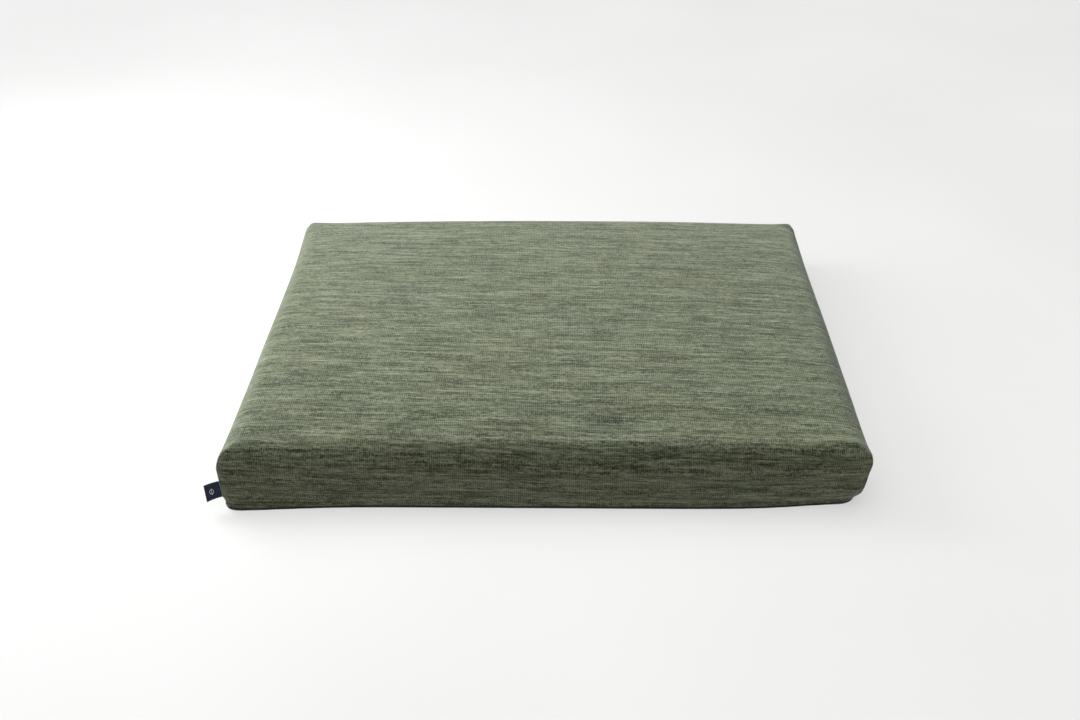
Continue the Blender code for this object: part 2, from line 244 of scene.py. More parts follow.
def slubWeave():
    # Plain weave of dyed polyester slub yarn, raised a little by brushing. The uneven weft lies along
    # the pad and shows as long dark and pale dashes, and the even warp crosses it as fine ticks.
    look = {
        # Tones of the yarn: pitch across, length along, a step that sets each yarn apart, and detail.
        # Real weft is about 1 mm apart and real warp about 0.8 mm: both are drawn coarser, to show.
        "slubs": (1.9 * mm, 54 * mm, 7.31, 3.0),       # from one thick stretch of a yarn to the next
        "flecks": (1.4 * mm, 9 * mm, 3.77, 1.0),
        "ticks": (2.5 * mm, 1.4 * mm, 2.93, 0.0),      # warp showing through, most on dark slubs
        "bands": (4.1 * mm, 130 * mm, 5.13, 2.0),      # yarns from one cone lie in bands
        "fleckShare": 0.38, "bandShare": 0.2,
        "dark": 0.42, "ticksOnDark": 0.32, "pale": 0.58, "ticksOnPale": 0.13,
        "warpPitch": 2.8 * mm, "warpTone": 0.025, "warpHeight": 0.2,
        "edgeShade": 0.16, "lift": 0.013,              # a yarn's edges lie in shade, and the rest is lifted
        "wander": 0.018, "wanderScale": 2.2,           # how far the weft strays, in metres
        "weave": [(0.36, "#15170c"), (0.45, "#373b28"), (0.51, "#5a5d49"), (0.63, "#81856f")],
        "dyeLength": 210 * mm, "dyeWidth": 75 * mm, "dyeShare": 0.45,    # slow changes between dye lots
        "dyes": [("#757d6c", 0.52, 0.72), ("#706b53", 0.48, 0.28)],      # a misty one and an olive one
        "yarnHeight": 0.5 * mm, "relief": 0.28, "yarnRound": 2.0,
    }
    made, tree, shader = newMaterial("brushed polyester slub weave", {
        "Roughness": 0.92, "IOR": 1.5, "Specular IOR Level": 0.2,
        "Sheen Weight": 0.35, "Sheen Roughness": 0.45, "Sheen Tint": linearColour("#dfe6da")})
    cloth = addNode(tree, "UVMap", {"uv_map": "cloth"})
    place = addNode(tree, "SeparateXYZ", {}, {"Vector": cloth})
    along = place.outputs["X"]
    wander = addNode(tree, "TexNoise", {"Scale": look["wanderScale"], "Detail": 1.0}, {"Vector": cloth})
    across = addNode(tree, "Math", {"operation": "MULTIPLY_ADD", 1: look["wander"]},
                     {0: wander, 2: place.outputs["Y"]})

    # each yarn has its own run of thick and thin, and each band of yarns its own depth of dye
    tones, counts = [], []
    for layer in ("slubs", "flecks", "ticks", "bands"):
        pitch, length, step, detail = look[layer]
        counts.append(addNode(tree, "Math", {"operation": "DIVIDE", 1: pitch}, {0: across}))
        lane = addNode(tree, "Math", {"operation": "FLOOR"}, {0: counts[-1]})
        run = addNode(tree, "Math", {"operation": "DIVIDE", 1: length}, {0: along})
        shift = addNode(tree, "Math", {"operation": "MULTIPLY", 1: step}, {0: lane})
        spot = addNode(tree, "CombineXYZ", {}, {"X": run, "Y": shift})
        tones.append(addNode(tree, "TexNoise", {"Scale": 1.0, "Detail": detail, "Roughness": 0.6},
                             {"Vector": spot}))
    slubs = addNode(tree, "Mix", {"data_type": "FLOAT", 0: look["fleckShare"]}, {2: tones[0], 3: tones[1]})
    showing = addNode(tree, "MapRange", {"From Min": look["dark"], "To Min": look["ticksOnDark"],
                                         "From Max": look["pale"], "To Max": look["ticksOnPale"]},
                      {"Value": slubs})
    crossings = addNode(tree, "Mix", {"data_type": "FLOAT"}, {0: showing, 2: slubs, 3: tones[2]})
    tone = addNode(tree, "Mix", {"data_type": "FLOAT", 0: look["bandShare"]}, {2: crossings, 3: tones[3]})

    turnsPerMetre = 2 * math.pi / look["warpPitch"]
    warpTurn = addNode(tree, "Math", {"operation": "MULTIPLY", 1: turnsPerMetre}, {0: along})
    warp = addNode(tree, "Math", {"operation": "SINE"}, {0: warpTurn})
    ticked = addNode(tree, "Math", {"operation": "MULTIPLY_ADD", 1: look["warpTone"]}, {0: warp, 2: tone})
    inLane = addNode(tree, "Math", {"operation": "FRACT"}, {0: counts[0]})
    offMiddle = addNode(tree, "Math", {"operation": "SUBTRACT", 1: 0.5}, {0: inLane})
    curve = addNode(tree, "Math", {"operation": "MULTIPLY"}, {0: offMiddle, 1: offMiddle})
    shaded = addNode(tree, "Math", {"operation": "MULTIPLY_ADD", 1: -look["edgeShade"]},
                     {0: curve, 2: ticked})
    lifted = addNode(tree, "Math", {"operation": "ADD", 1: look["lift"]}, {0: shaded})
    yarn = addNode(tree, "ValToRGB", {}, {"Fac": lifted})
    colourRamp(yarn, look["weave"])

    dyeScale = (1 / look["dyeLength"], 1 / look["dyeWidth"], 1.0)
    dyePlace = addNode(tree, "Mapping", {"Scale": dyeScale}, {"Vector": cloth})
    dye = addNode(tree, "TexNoise", {"Scale": 1.0, "Detail": 4.0, "Roughness": 0.6}, {"Vector": dyePlace})
    colour = yarn
    for tint, start, end in look["dyes"]:
        taken = addNode(tree, "MapRange", {"From Min": start, "From Max": end, "To Max": look["dyeShare"]},
                        {"Value": dye})
        colour = addNode(tree, "Mix", {"data_type": "RGBA", "blend_type": "COLOR", 7: linearColour(tint)},
                         {0: taken, 6: colour}).outputs[2]
    tree.links.new(colour, shader.inputs["Base Color"])

    ridge = addNode(tree, "Math", {"operation": "MULTIPLY_ADD", 1: -look["yarnRound"]}, {0: curve, 2: slubs})
    raised = addNode(tree, "Math", {"operation": "MULTIPLY_ADD", 1: look["warpHeight"]}, {0: warp, 2: ridge})
    bump = addNode(tree, "Bump", {"Strength": look["relief"], "Distance": look["yarnHeight"]},
                   {"Height": raised})
    tree.links.new(bump.outputs[0], shader.inputs["Normal"])
    return made


def paintAndRaise(tree, shader, look, tone, relief, strength):
    # The tone picks a colour from the ramp, and the relief gives the light something to catch on
    paint = addNode(tree, "ValToRGB", {}, {"Fac": tone})
    colourRamp(paint, look["colours"])
    tree.links.new(paint.outputs[0], shader.inputs["Base Color"])
    bump = addNode(tree, "Bump", {"Strength": strength, "Distance": look["height"]}, {"Height": relief})
    tree.links.new(bump.outputs[0], shader.inputs["Normal"])


wavePeriod = 0.314    # metres from crest to crest of a wave texture at scale 1


def wovenMaterial(name, look, settings):
    # Fine even cloth or tape: yarns cross at a pitch, and a slow mottle keeps it from looking printed
    made, tree, shader = newMaterial(name, settings)
    coords = addNode(tree, "TexCoord").outputs["Object"]
    waves = []
    for direction in look["directions"]:
        wave = addNode(tree, "TexWave", {"bands_direction": direction, "wave_profile": "SIN",
                                         "Scale": wavePeriod / look["pitch"], "Distortion": look["wobble"],
                                         "Detail": 1.0}, {"Vector": coords})
        waves.append(wave.outputs["Fac"])
    crossed = addNode(tree, "Math", {"operation": "MULTIPLY"}, {0: waves[0], 1: waves[-1]})
    mottle = addNode(tree, "TexNoise", {"Scale": 1 / look["mottle"], "Detail": 5.0, "Roughness": 0.65},
                     {"Vector": coords})
    tone = addNode(tree, "Math", {"operation": "MULTIPLY_ADD", 1: look["contrast"]}, {0: crossed, 2: mottle})
    rough = addNode(tree, "MapRange", {"To Min": look["rough"][0], "To Max": look["rough"][1]},
                    {"Value": mottle})
    tree.links.new(rough.outputs[0], shader.inputs["Roughness"])
    paintAndRaise(tree, shader, look, tone, crossed, 0.5)
    return made


def cellMaterial(name, look, settings):
    # A face made of small cells or grains, under a slow cloud of tone: torn cells make foam pitted and
    # chalky, and the same thing very fine and shallow is the grain of plated metal, nylon or thread
    made, tree, shader = newMaterial(name, settings)
    coords = addNode(tree, "TexCoord").outputs["Object"]
    cells = addNode(tree, "TexVoronoi", {"Scale": 1 / look["cell"]}, {"Vector": coords})
    cloud = addNode(tree, "TexNoise", {"Scale": 1 / look["cloud"], "Detail": 6.0, "Roughness": 0.7},
                    {"Vector": coords})
    tone = addNode(tree, "Math", {"operation": "MULTIPLY_ADD", 1: look["contrast"]},
                   {0: cells.outputs["Distance"], 2: cloud})
    paintAndRaise(tree, shader, look, tone, tone, 0.6)
    return made


slubCloth = slubWeave()

# Coated polyester canvas: almost black, dull, its weave filled by the coating
baseCanvas = wovenMaterial("coated black canvas", {
    "directions": ("X", "Y"), "pitch": 1.2 * mm, "wobble": 0.4, "mottle": 60 * mm, "contrast": 0.35,
    "colours": [(0.3, "#0d0d0e"), (0.9, "#222224")], "rough": (0.6, 0.8), "height": 0.15 * mm},
    {"IOR": 1.5, "Specular IOR Level": 0.35})

# Silicone gel, printed in dots: soft low gloss, a shade greyer than the cloth
gripGel = cellMaterial("printed silicone dots", {
    "cell": 1.5 * mm, "cloud": 20 * mm, "contrast": 0.15,
    "colours": [(0.3, "#19191b"), (0.9, "#2b2b2e")], "height": 0.03 * mm},
    {"Roughness": 0.45, "IOR": 1.43})

# Warp-knit polyester tricot: white, with a faint rib and a slight sheen
linerTricot = wovenMaterial("white polyester tricot", {
    "directions": ("Y", "X"), "pitch": 1.6 * mm, "wobble": 0.8, "mottle": 90 * mm, "contrast": 0.25,
    "colours": [(0.3, "#c9c8c2"), (0.9, "#ecebe6")], "rough": (0.6, 0.75), "height": 0.12 * mm},
    {"IOR": 1.5, "Sheen Weight": 0.2})

# Carded polyester fibre, bonded by heat: white, cloudy, with a hairy matt face
fibreWadding = cellMaterial("bonded fibre wadding", {
    "cell": 7 * mm, "cloud": 25 * mm, "contrast": 0.3,
    "colours": [(0.3, "#cfcdc6"), (0.8, "#f3f2ee")], "height": 1.2 * mm},
    {"Roughness": 0.95, "IOR": 1.5, "Sheen Weight": 0.3})

# Viscoelastic polyurethane, moulded then cut: cream, with fine closed-looking cells
softFoam = cellMaterial("cream memory foam", {
    "cell": 2.0 * mm, "cloud": 40 * mm, "contrast": 0.25,
    "colours": [(0.3, "#cbbf9f"), (0.9, "#e6dcc0")], "height": 0.3 * mm},
    {"Roughness": 0.9, "IOR": 1.5})

# Firm polyurethane foam, blade cut: grey-blue, with coarser torn cells
firmFoam = cellMaterial("grey support foam", {
    "cell": 3.0 * mm, "cloud": 30 * mm, "contrast": 0.35,
    "colours": [(0.3, "#6c757e"), (0.9, "#98a1a9")], "height": 0.6 * mm},
    {"Roughness": 0.92, "IOR": 1.5})

# Polyester twill tape: black, its diagonal ribs just catching the light
zipTwill = wovenMaterial("black twill tape", {
    "directions": ("DIAGONAL",), "pitch": 1.3 * mm, "wobble": 0.1, "mottle": 15 * mm, "contrast": 0.4,
    "colours": [(0.3, "#101011"), (0.9, "#2a2a2c")], "rough": (0.65, 0.8), "height": 0.12 * mm},
    {"IOR": 1.5})

# Drawn nylon 6 monofilament: smooth and semi-gloss, with a soft waxy bloom
nylonCoil = cellMaterial("black nylon monofilament", {
    "cell": 0.8 * mm, "cloud": 6 * mm, "contrast": 0.1,
    "colours": [(0.3, "#151516"), (0.9, "#242427")], "height": 0.01 * mm},
    {"Roughness": 0.38, "IOR": 1.53})

# Die-cast zinc, black plated: dark metal with worn, slightly mottled gloss
blackZinc = cellMaterial("black plated zinc", {
    "cell": 0.5 * mm, "cloud": 5 * mm, "contrast": 0.15,
    "colours": [(0.3, "#2c2c2f"), (0.9, "#4a4a4e")], "height": 0.008 * mm},
    {"Roughness": 0.33, "Metallic": 1.0})

# Damask ribbon: fine navy polyester, a slight silky rib along its length
navyRibbon = wovenMaterial("navy damask ribbon", {
    "directions": ("Z", "X"), "pitch": 0.7 * mm, "wobble": 0.2, "mottle": 9 * mm, "contrast": 0.3,
    "colours": [(0.3, "#0b1228"), (0.9, "#1a2544")], "rough": (0.6, 0.75), "height": 0.08 * mm},
    {"IOR": 1.5, "Specular IOR Level": 0.25, "Sheen Weight": 0.08})

# Trilobal embroidery thread: white with a soft sparkle
whiteThread = cellMaterial("white embroidery thread", {
    "cell": 0.4 * mm, "cloud": 2 * mm, "contrast": 0.2,
    "colours": [(0.3, "#cdcdd0"), (0.9, "#f1f1f2")], "height": 0.04 * mm},
    {"Roughness": 0.5, "IOR": 1.5, "Sheen Weight": 0.2})

# Bonded polyester sewing thread, dyed to the cover
sageThread = cellMaterial("sage sewing thread", {
    "cell": 0.4 * mm, "cloud": 3 * mm, "contrast": 0.2,
    "colours": [(0.3, "#4b5341"), (0.9, "#6d765f")], "height": 0.04 * mm},
    {"Roughness": 0.6, "IOR": 1.5})

# Satin ribbon: long floats give a smooth pearly gloss
satinRibbon = wovenMaterial("white satin ribbon", {
    "directions": ("X", "Z"), "pitch": 0.6 * mm, "wobble": 0.1, "mottle": 12 * mm, "contrast": 0.2,
    "colours": [(0.3, "#d6d5d0"), (0.9, "#f4f3ef")], "rough": (0.3, 0.42), "height": 0.05 * mm},
    {"IOR": 1.5})
print("materials made")


# The padded form that the cover and everything inside it share

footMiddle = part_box("base_panel")[1]         # the sides' foot, and the rim of the base
coverLow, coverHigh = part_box("cover_shell")
zipWindow = 380 * mm                         # half the window's length
windowTop = 20.5 * mm

form = {
    "crown": 12 * mm, "edgeRound": 30 * mm,
    "lidCorner": 5.0,                        # a power: 2 is a round corner, and more is squarer
    # Each corner's seam draws it outward: its foot in X and in Y, up to a height, then its middle, then
    # its lid. Its tip stands proud and its lid rises by so much, and its foot has a power of its own.
    # The cover is soft and hand sewn, so no two corners are alike.
    "corners": {
        (-1, -1): {"foot": (3 * mm, 11 * mm), "footTo": 30 * mm, "middle": 3.5 * mm, "lid": 3 * mm,
                   "tip": 3 * mm, "rise": 0.0, "power": 3.2},
        (1, -1): {"foot": (-13 * mm, -14 * mm), "footTo": 62 * mm, "middle": -5 * mm, "lid": 2 * mm,
                  "tip": 2 * mm, "rise": 0.0, "power": 2.6},
        (-1, 1): {"foot": (0.0, 0.0), "footTo": 26 * mm, "middle": 6 * mm, "lid": 9 * mm,
                  "tip": 0.0, "rise": -5.5 * mm, "power": 4.0},
        (1, 1): {"foot": (0.0, 0.0), "footTo": 26 * mm, "middle": 2.5 * mm, "lid": 5.5 * mm,
                 "tip": 1 * mm, "rise": -5 * mm, "power": 3.0},
    },
    "cornerReach": 110 * mm, "tipReach": 26 * mm, "tipLift": 0.6,
    "fullness": 5.5 * mm,                    # the sides stand this far outside the base
    "fullFrom": 22 * mm, "fullTo": 60 * mm,
    "taper": 0.4,                            # the share of that fullness that is lost again at the lid
    "sidePower": 8,                          # how close to the sides the fullness and the roll stay
    "roll": 4.5 * mm,                        # below the full part they roll in under it by this much more
    "flatFoot": 28 * mm,                     # the zip's side is flat up to here
    "zipSide": 250 * mm,                     # from here to the back the roll fades, for the zip
    "zipFull": 0.94,                         # and this share of the way back it is gone
    "worn": 8.5 * mm, "wornReach": 75 * mm,  # the front edge is knelt and sat on, so it dips there
    "edgeAngles": (0, 9, 18, 27, 35, 41, 45),    # rounding steps, closer together near the seams
}
lidEdge = coverHigh.z - form["crown"]
sideX, sideY = footMiddle.x, footMiddle.y


def cornerAt(x, y):
    return form["corners"][1 if x > 0 else -1, 1 if y > 0 else -1]


def cornerPull(x, y, z):
    corner = cornerAt(x, y)
    away = (sideX - abs(x)) ** 2 + (sideY - abs(y)) ** 2
    atFoot = max(1 - z / corner["footTo"], 0.0) ** 2
    towardsLid = smooth(form["fullTo"], lidEdge, z)
    even = corner["middle"] * (1 - atFoot) + (corner["lid"] - corner["middle"]) * towardsLid
    outX, outY = (even + atFoot * foot for foot in corner["foot"])
    near = math.exp(-away / form["cornerReach"] ** 2)
    if y > 0:                                # the zip keeps the foot of its side where it is
        near *= smooth(form["flatFoot"], 2 * form["flatFoot"], z)
    atTip = corner["tip"] * math.exp(-(away + (lidEdge - z) ** 2) / form["tipReach"] ** 2)
    return Vector((math.copysign(1, x) * (outX * near + atTip),
                   math.copysign(1, y) * (outY * near + atTip),
                   corner["rise"] * towardsLid * near + form["tipLift"] * atTip))


def edgeRadius(side, top):                   # of the lid's edge, this far inside the cover's outer face
    return form["edgeRound"] - (side + top) / 2


def padPoint(x, y, z, side=0.0, top=0.0):
    # Where a point of a plain box goes on the pad, this far inside the cover's outer face
    halfX, halfY = sideX - side, sideY - side
    lid = lidEdge - top
    radius = edgeRadius(side, top)
    overX = max(abs(x) - (halfX - radius), 0.0)
    overY = max(abs(y) - (halfY - radius), 0.0)
    overZ = max(z - (lid - radius), 0.0)
    footPower = cornerAt(x, y)["power"]
    power = footPower + (form["lidCorner"] - footPower) * smooth(0, form["flatFoot"], z)
    around = (overX ** power + overY ** power) ** (1 / power)
    reach = math.hypot(around, overZ)
    furthest = max(overX, overY, overZ)
    shrink = furthest / reach if reach else 1.0
    px = math.copysign(abs(x) - overX * (1 - shrink), x)
    py = math.copysign(abs(y) - overY * (1 - shrink), y)
    pz = z - overZ * (1 - shrink)

    onLid = min(max((pz - (lid - radius)) / radius, 0.0), 1.0)
    pz += form["crown"] * (1 - ((px / halfX) ** 2 + (py / halfY) ** 2) / 2) * onLid
    worn = math.exp(-(halfY + py) / form["wornReach"]) * (1 - (px / halfX) ** 4)
    pz -= form["worn"] * worn * smooth(0, lid, z)
    atZip = smooth(form["zipSide"], form["zipFull"] * halfY, y)
    swelled = smooth(0, form["fullFrom"], z)
    swelled += (smooth(form["flatFoot"], 2 * form["flatFoot"], z) - swelled) * atZip
    eased = 1 - form["taper"] * smooth(form["fullTo"], lid, z)
    low = max(1 - z / form["fullFrom"], 0.0)
    shift = form["fullness"] * swelled * eased - form["roll"] * low * low * (1 - atZip)
    px += math.copysign(shift * abs(px / halfX) ** form["sidePower"], px)
    py += math.copysign(shift * abs(py / halfY) ** form["sidePower"], py)
    return Vector((px, py, pz)) + cornerPull(x, y, z)


def places(half, radius, cells, extra=()):
    # Places along one axis, as (on the plain box, along the cloth), from one edge to the other
    flat = half - radius
    inner = [flat * (2 * step / cells - 1) for step in range(1, cells)]
    for wanted in extra:
        inner.remove(min(inner, key=lambda at: abs(at - wanted)))
        inner.append(wanted)
    rounded = [(flat + radius * math.tan(math.radians(angle)), flat + radius * math.radians(angle))
               for angle in form["edgeAngles"]]
    lower = [(-box, -cloth) for box, cloth in reversed(rounded)]
    return lower + [(at, at) for at in sorted(inner)] + rounded


def heights(lid, radius, levels):
    # Heights, as (on the plain box, down the cloth from the lid's edge), from the foot upward
    start = lid - radius
    straight = [(level, radius * math.pi / 4 + start - level) for level in levels]
    rounded = [(start + radius * math.tan(math.radians(angle)), radius * (math.pi / 4 - math.radians(angle)))
               for angle in form["edgeAngles"]]
    return straight + rounded


def skin(xPlaces, yPlaces, zPlaces, shape, keep=None, closed=False):
    # Top and four sides of a box as a grid, each point moved by shape. Returns points, faces, the cloth's
    # own coordinates at each face corner, and the points of the foot in order.
    verts, index, faces, cloth = [], {}, [], []
    lastX, lastY, lastZ = len(xPlaces) - 1, len(yPlaces) - 1, len(zPlaces) - 1

    def corner(i, j, k):
        if (i, j, k) not in index:
            index[i, j, k] = len(verts)
            verts.append(shape(xPlaces[i][0], yPlaces[j][0], zPlaces[k][0]))
        return index[i, j, k]

    def panel(rangeA, rangeB, place, unroll, flip):
        for a in range(rangeA):
            for b in range(rangeB):
                quad = [(a, b), (a + 1, b), (a + 1, b + 1), (a, b + 1)]
                if flip:
                    quad.reverse()
                spots = [place(*spot) for spot in quad]
                middle = [sum(part) / 4 for part in zip(*[(xPlaces[i][0], yPlaces[j][0], zPlaces[k][0])
                                                          for i, j, k in spots])]
                if keep and not keep(*middle):
                    continue
                faces.append(tuple(corner(*spot) for spot in spots))
                cloth.extend(unroll(*spot) for spot in quad)

    def acrossX(a):
        return xPlaces[a][1]

    def acrossY(b):
        return yPlaces[b][1]

    def down(k):
        return zPlaces[k][1]

    panel(lastX, lastY, lambda a, b: (a, b, lastZ), lambda a, b: (acrossX(a), acrossY(b)), False)
    panel(lastX, lastZ, lambda a, b: (a, 0, b), lambda a, b: (acrossX(a), acrossY(0) - down(b)), False)
    panel(lastX, lastZ, lambda a, b: (a, lastY, b), lambda a, b: (acrossX(a), acrossY(lastY) + down(b)),
          True)
    panel(lastY, lastZ, lambda a, b: (lastX, a, b), lambda a, b: (acrossX(lastX) + down(b), acrossY(a)),
          False)
    panel(lastY, lastZ, lambda a, b: (0, a, b), lambda a, b: (acrossX(0) - down(b), acrossY(a)), True)
    if closed:
        panel(lastX, lastY, lambda a, b: (a, b, 0), lambda a, b: (acrossX(a), acrossY(b)), True)
    ring = [(i, 0) for i in range(lastX)] + [(lastX, j) for j in range(lastY)]
    ring += [(i, lastY) for i in range(lastX, 0, -1)] + [(0, j) for j in range(lastY, 0, -1)]
    return verts, faces, cloth, [corner(i, j, 0) for i, j in ring]


def clothMap(piece, cloth):  # keeps the unrolled cloth's coordinates, in metres
    layer = piece.data.uv_layers.new(name="cloth")
    for at, spot in enumerate(cloth):
        layer.data[at].uv = spot


# Cover: a sewn shell of slub cloth, swelled by its filling

cover = {
    "cellsX": 70, "cellsY": 54,
    "thickness": 1.6 * mm,
    "foot": coverLow.z,
    "levels": (10, 15, 38, 48, 58),       # rows of the grid up the sides, in mm
    # the simulated cloth, by Blender's own names, and how far it may move
    "cloth": {"quality": 6, "mass": 0.3, "tension_stiffness": 25, "compression_stiffness": 25,
              "shear_stiffness": 10, "bending_stiffness": 2, "use_pressure": True,
              "uniform_pressure_force": 4.0},
    "frames": 20, "swell": 2.5 * mm,
    "waves": [(0.23, 1.6 * mm), (0.07, 0.5 * mm)],      # wavelength and height, always outward
    "wavesFrom": Vector((3.1, 1.7, 0.4)),
    "seamRidge": 1.5 * mm, "seamWidth": 1.7 * mm, "seamReach": 30 * mm,
    "skew": 0.035,              # the cloth is cut a little off its grain
}


def swellCloth(piece, pinned):
    # Air pressure inside the shell, with its sewn edge held
    rest = [vertex.co.copy() for vertex in piece.data.vertices]
    group = piece.vertex_groups.new(name="sewn")
    group.add(pinned, 1.0, "REPLACE")
    modifier = piece.modifiers.new("cloth", "CLOTH")
    for name, value in cover["cloth"].items():
        setattr(modifier.settings, name, value)
    modifier.settings.effector_weights.gravity = 0
    modifier.settings.vertex_group_mass = group.name
    modifier.point_cache.frame_start = 1
    modifier.point_cache.frame_end = cover["frames"]
    for step in range(1, cover["frames"] + 1):
        scene.frame_set(step)
    swelled = piece.evaluated_get(bpy.context.evaluated_depsgraph_get()).data
    moved = [vertex.co.copy() for vertex in swelled.vertices]
    piece.modifiers.remove(modifier)
    piece.vertex_groups.clear()
    scene.frame_set(1)
    for vertex, start, end in zip(piece.data.vertices, rest, moved):
        travel = end - start
        far = travel.length
        if far > 0:      # eased towards the cap, so that no crease shows where it is met
            travel *= cover["swell"] * math.tanh(far / cover["swell"]) / far
        vertex.co = start + travel


def makeCover():
    radius = form["edgeRound"]
    xPlaces = places(sideX, radius, cover["cellsX"], (-zipWindow, zipWindow))
    yPlaces = places(sideY, radius, cover["cellsY"])
    levels = [cover["foot"], windowTop, form["flatFoot"]] + [level * mm for level in cover["levels"]]
    zPlaces = heights(lidEdge, radius, sorted(levels))

    def outsideWindow(x, y, z):
        return not (y > sideY - 1 * mm and abs(x) < zipWindow and z < windowTop)

    verts, faces, cloth, ring = skin(xPlaces, yPlaces, zPlaces, padPoint, outsideWindow)
    piece = meshPiece("cover", verts, faces, slubCloth)
    clothMap(piece, [(u, v + cover["skew"] * u) for u, v in cloth])
    loose = [vertex.index for vertex in piece.data.vertices if vertex.co.z < coverLow.z + 1 * mm]
    zipEdge = [vertex.index for vertex in piece.data.vertices
               if vertex.co.y > sideY - 2 * mm and vertex.co.z < form["flatFoot"] + 1 * mm]
    swellCloth(piece, sorted(set(loose + zipEdge)))

    normals = [vertex.normal.copy() for vertex in piece.data.vertices]
    for vertex, normal in zip(piece.data.vertices, normals):
        free = smooth(coverLow.z, form["flatFoot"] + 20 * mm, vertex.co.z)
        for length, height in cover["waves"]:
            lift = 0.5 + 0.5 * noise.noise(vertex.co / length + cover["wavesFrom"])
            vertex.co += normal * (height * lift * free)

    refine(piece)
    applyModifiers(piece)
    raiseSeams(piece)
    thicken(piece, cover["thickness"], even=True)
    piece.data.shade_smooth()
    finishPiece(piece, "pad", "cover_cloth", "cover_shell")


def raiseSeams(piece):
    # The seam allowance behind each upright corner seam lifts the cloth into a thin ridge, which
    # runs a little way on to the lid
    inX, inY = sideX - form["edgeRound"], sideY - form["edgeRound"]
    normals = [vertex.normal.copy() for vertex in piece.data.vertices]
    for vertex, normal in zip(piece.data.vertices, normals):
        a, b = abs(vertex.co.x) - inX, abs(vertex.co.y) - inY
        outward = (a + b) / math.sqrt(2)
        if min(a, b) < -0.2 * form["edgeRound"] or outward < 0:
            continue
        off = (a - b) / math.sqrt(2)
        near = math.exp(-(off / cover["seamWidth"]) ** 2)
        onLid = smooth(0.0, cover["seamReach"], outward)
        vertex.co += normal * (cover["seamRidge"] * near * onLid)


# Base: coated cloth that turns up to the cover's seam, with printed grip dots underneath

base = {
    "thickness": 1.3 * mm,
    "rim": coverLow.z - 0.3 * mm,
    "fold": 1.2 * mm,               # how round the turned-up edge is
    "zipRim": 9.5 * mm,             # the turned-up part below the zip
    "cellsX": 24, "cellsY": 18,
    "laid": 0.98,                   # share of the cut sheet left, its corners being trimmed
    "dotSpacing": 18 * mm, "dotRadius": 2.4 * mm, "dotHeight": 0.5 * mm, "dotMargin": 30 * mm,
    "dotSides": 8,
    "dotProfile": [(0.9, 1.4), (1.0, 1.0), (0.8, 0.3), (0.45, 0.0)],   # shares of radius and height
}


def makeBase():
    xPlaces = places(sideX, form["edgeRound"], base["cellsX"], (-zipWindow, zipWindow))
    yPlaces = places(sideY, form["edgeRound"], base["cellsY"])
    low = base["dotHeight"]
    steps = [(base["fold"], low), (0.3 * base["fold"], low + 0.3 * base["fold"]),
             (0.0, low + base["fold"]), (0.0, base["rim"])]     # inset and height, from the floor up

    def basePoint(x, y, level):
        onFoot = padPoint(x, y, coverLow.z)
        inset, height = steps[level]
        belowZip = y > sideY - 1 * mm and abs(x) < zipWindow + 0.1 * mm
        if level == len(steps) - 1 and belowZip:
            height = base["zipRim"]
        return Vector((onFoot.x * (1 - inset / sideX), onFoot.y * (1 - inset / sideY), height))

    levels = [(level, 0) for level in range(len(steps))]
    verts, faces, cloth, ring = skin(xPlaces, yPlaces, levels, basePoint,
                                     lambda x, y, level: level < len(steps) - 1, True)    # no lid
    piece = meshPiece("base", verts, faces, baseCanvas)
    thicken(piece, base["thickness"])
    finishPiece(piece, "pad", "base_cloth", "base_panel")
    makeGripDots()


def makeGripDots():
    verts, faces = [], []
    sides, radius, profile = base["dotSides"], base["dotRadius"], base["dotProfile"]
    countX = int((sideX - base["dotMargin"]) / base["dotSpacing"])
    countY = int((sideY - base["dotMargin"]) / base["dotSpacing"])
    for column in range(-countX, countX + 1):
        for row in range(-countY, countY + 1):
            if (column + row) % 2:
                continue
            x, y = column * base["dotSpacing"], row * base["dotSpacing"]
            faces += [face[::-1] for face in ringFaces(len(verts), len(profile), sides)]
            for share, height in profile:
                for side in range(sides):
                    turn = 2 * math.pi * side / sides
                    verts.append((x + share * radius * math.cos(turn), y + share * radius * math.sin(turn),
                                  height * base["dotHeight"]))
    finishPiece(meshPiece("grip_dots", verts, faces, gripGel), "pad", "base_cloth")


# Liner, wadding and foams, one inside the other

inner = {
    "cellsX": 30, "cellsY": 24,
    "linerSide": 5.2 * mm, "linerTop": 1.9 * mm, "linerCloth": 0.8 * mm,
    "waddingSide": 6.3 * mm, "waddingTop": 3.0 * mm,
    "gap": 0.3 * mm,
    "foamCorner": 26 * mm,           # radius of the foams' upright corners
    "lidEase": 10 * mm, "cutEase": 1.5 * mm,
    "levels": (10, 18, 42, 56),      # rows of the grid up the sides, in mm
    "floorIn": 0.999, "floorEase": 0.2 * mm,
    "fluff": 0.5 * mm, "tuft": 14 * mm,
}


def innerLevels(foot, side, top):
    levels = [foot, form["flatFoot"]] + [level * mm for level in inner["levels"]]
    return heights(lidEdge - top, edgeRadius(side, top), sorted(levels))


def innerPlaces(half, radius):
    return (places(half[0], radius, inner["cellsX"]), places(half[1], radius, inner["cellsY"]))


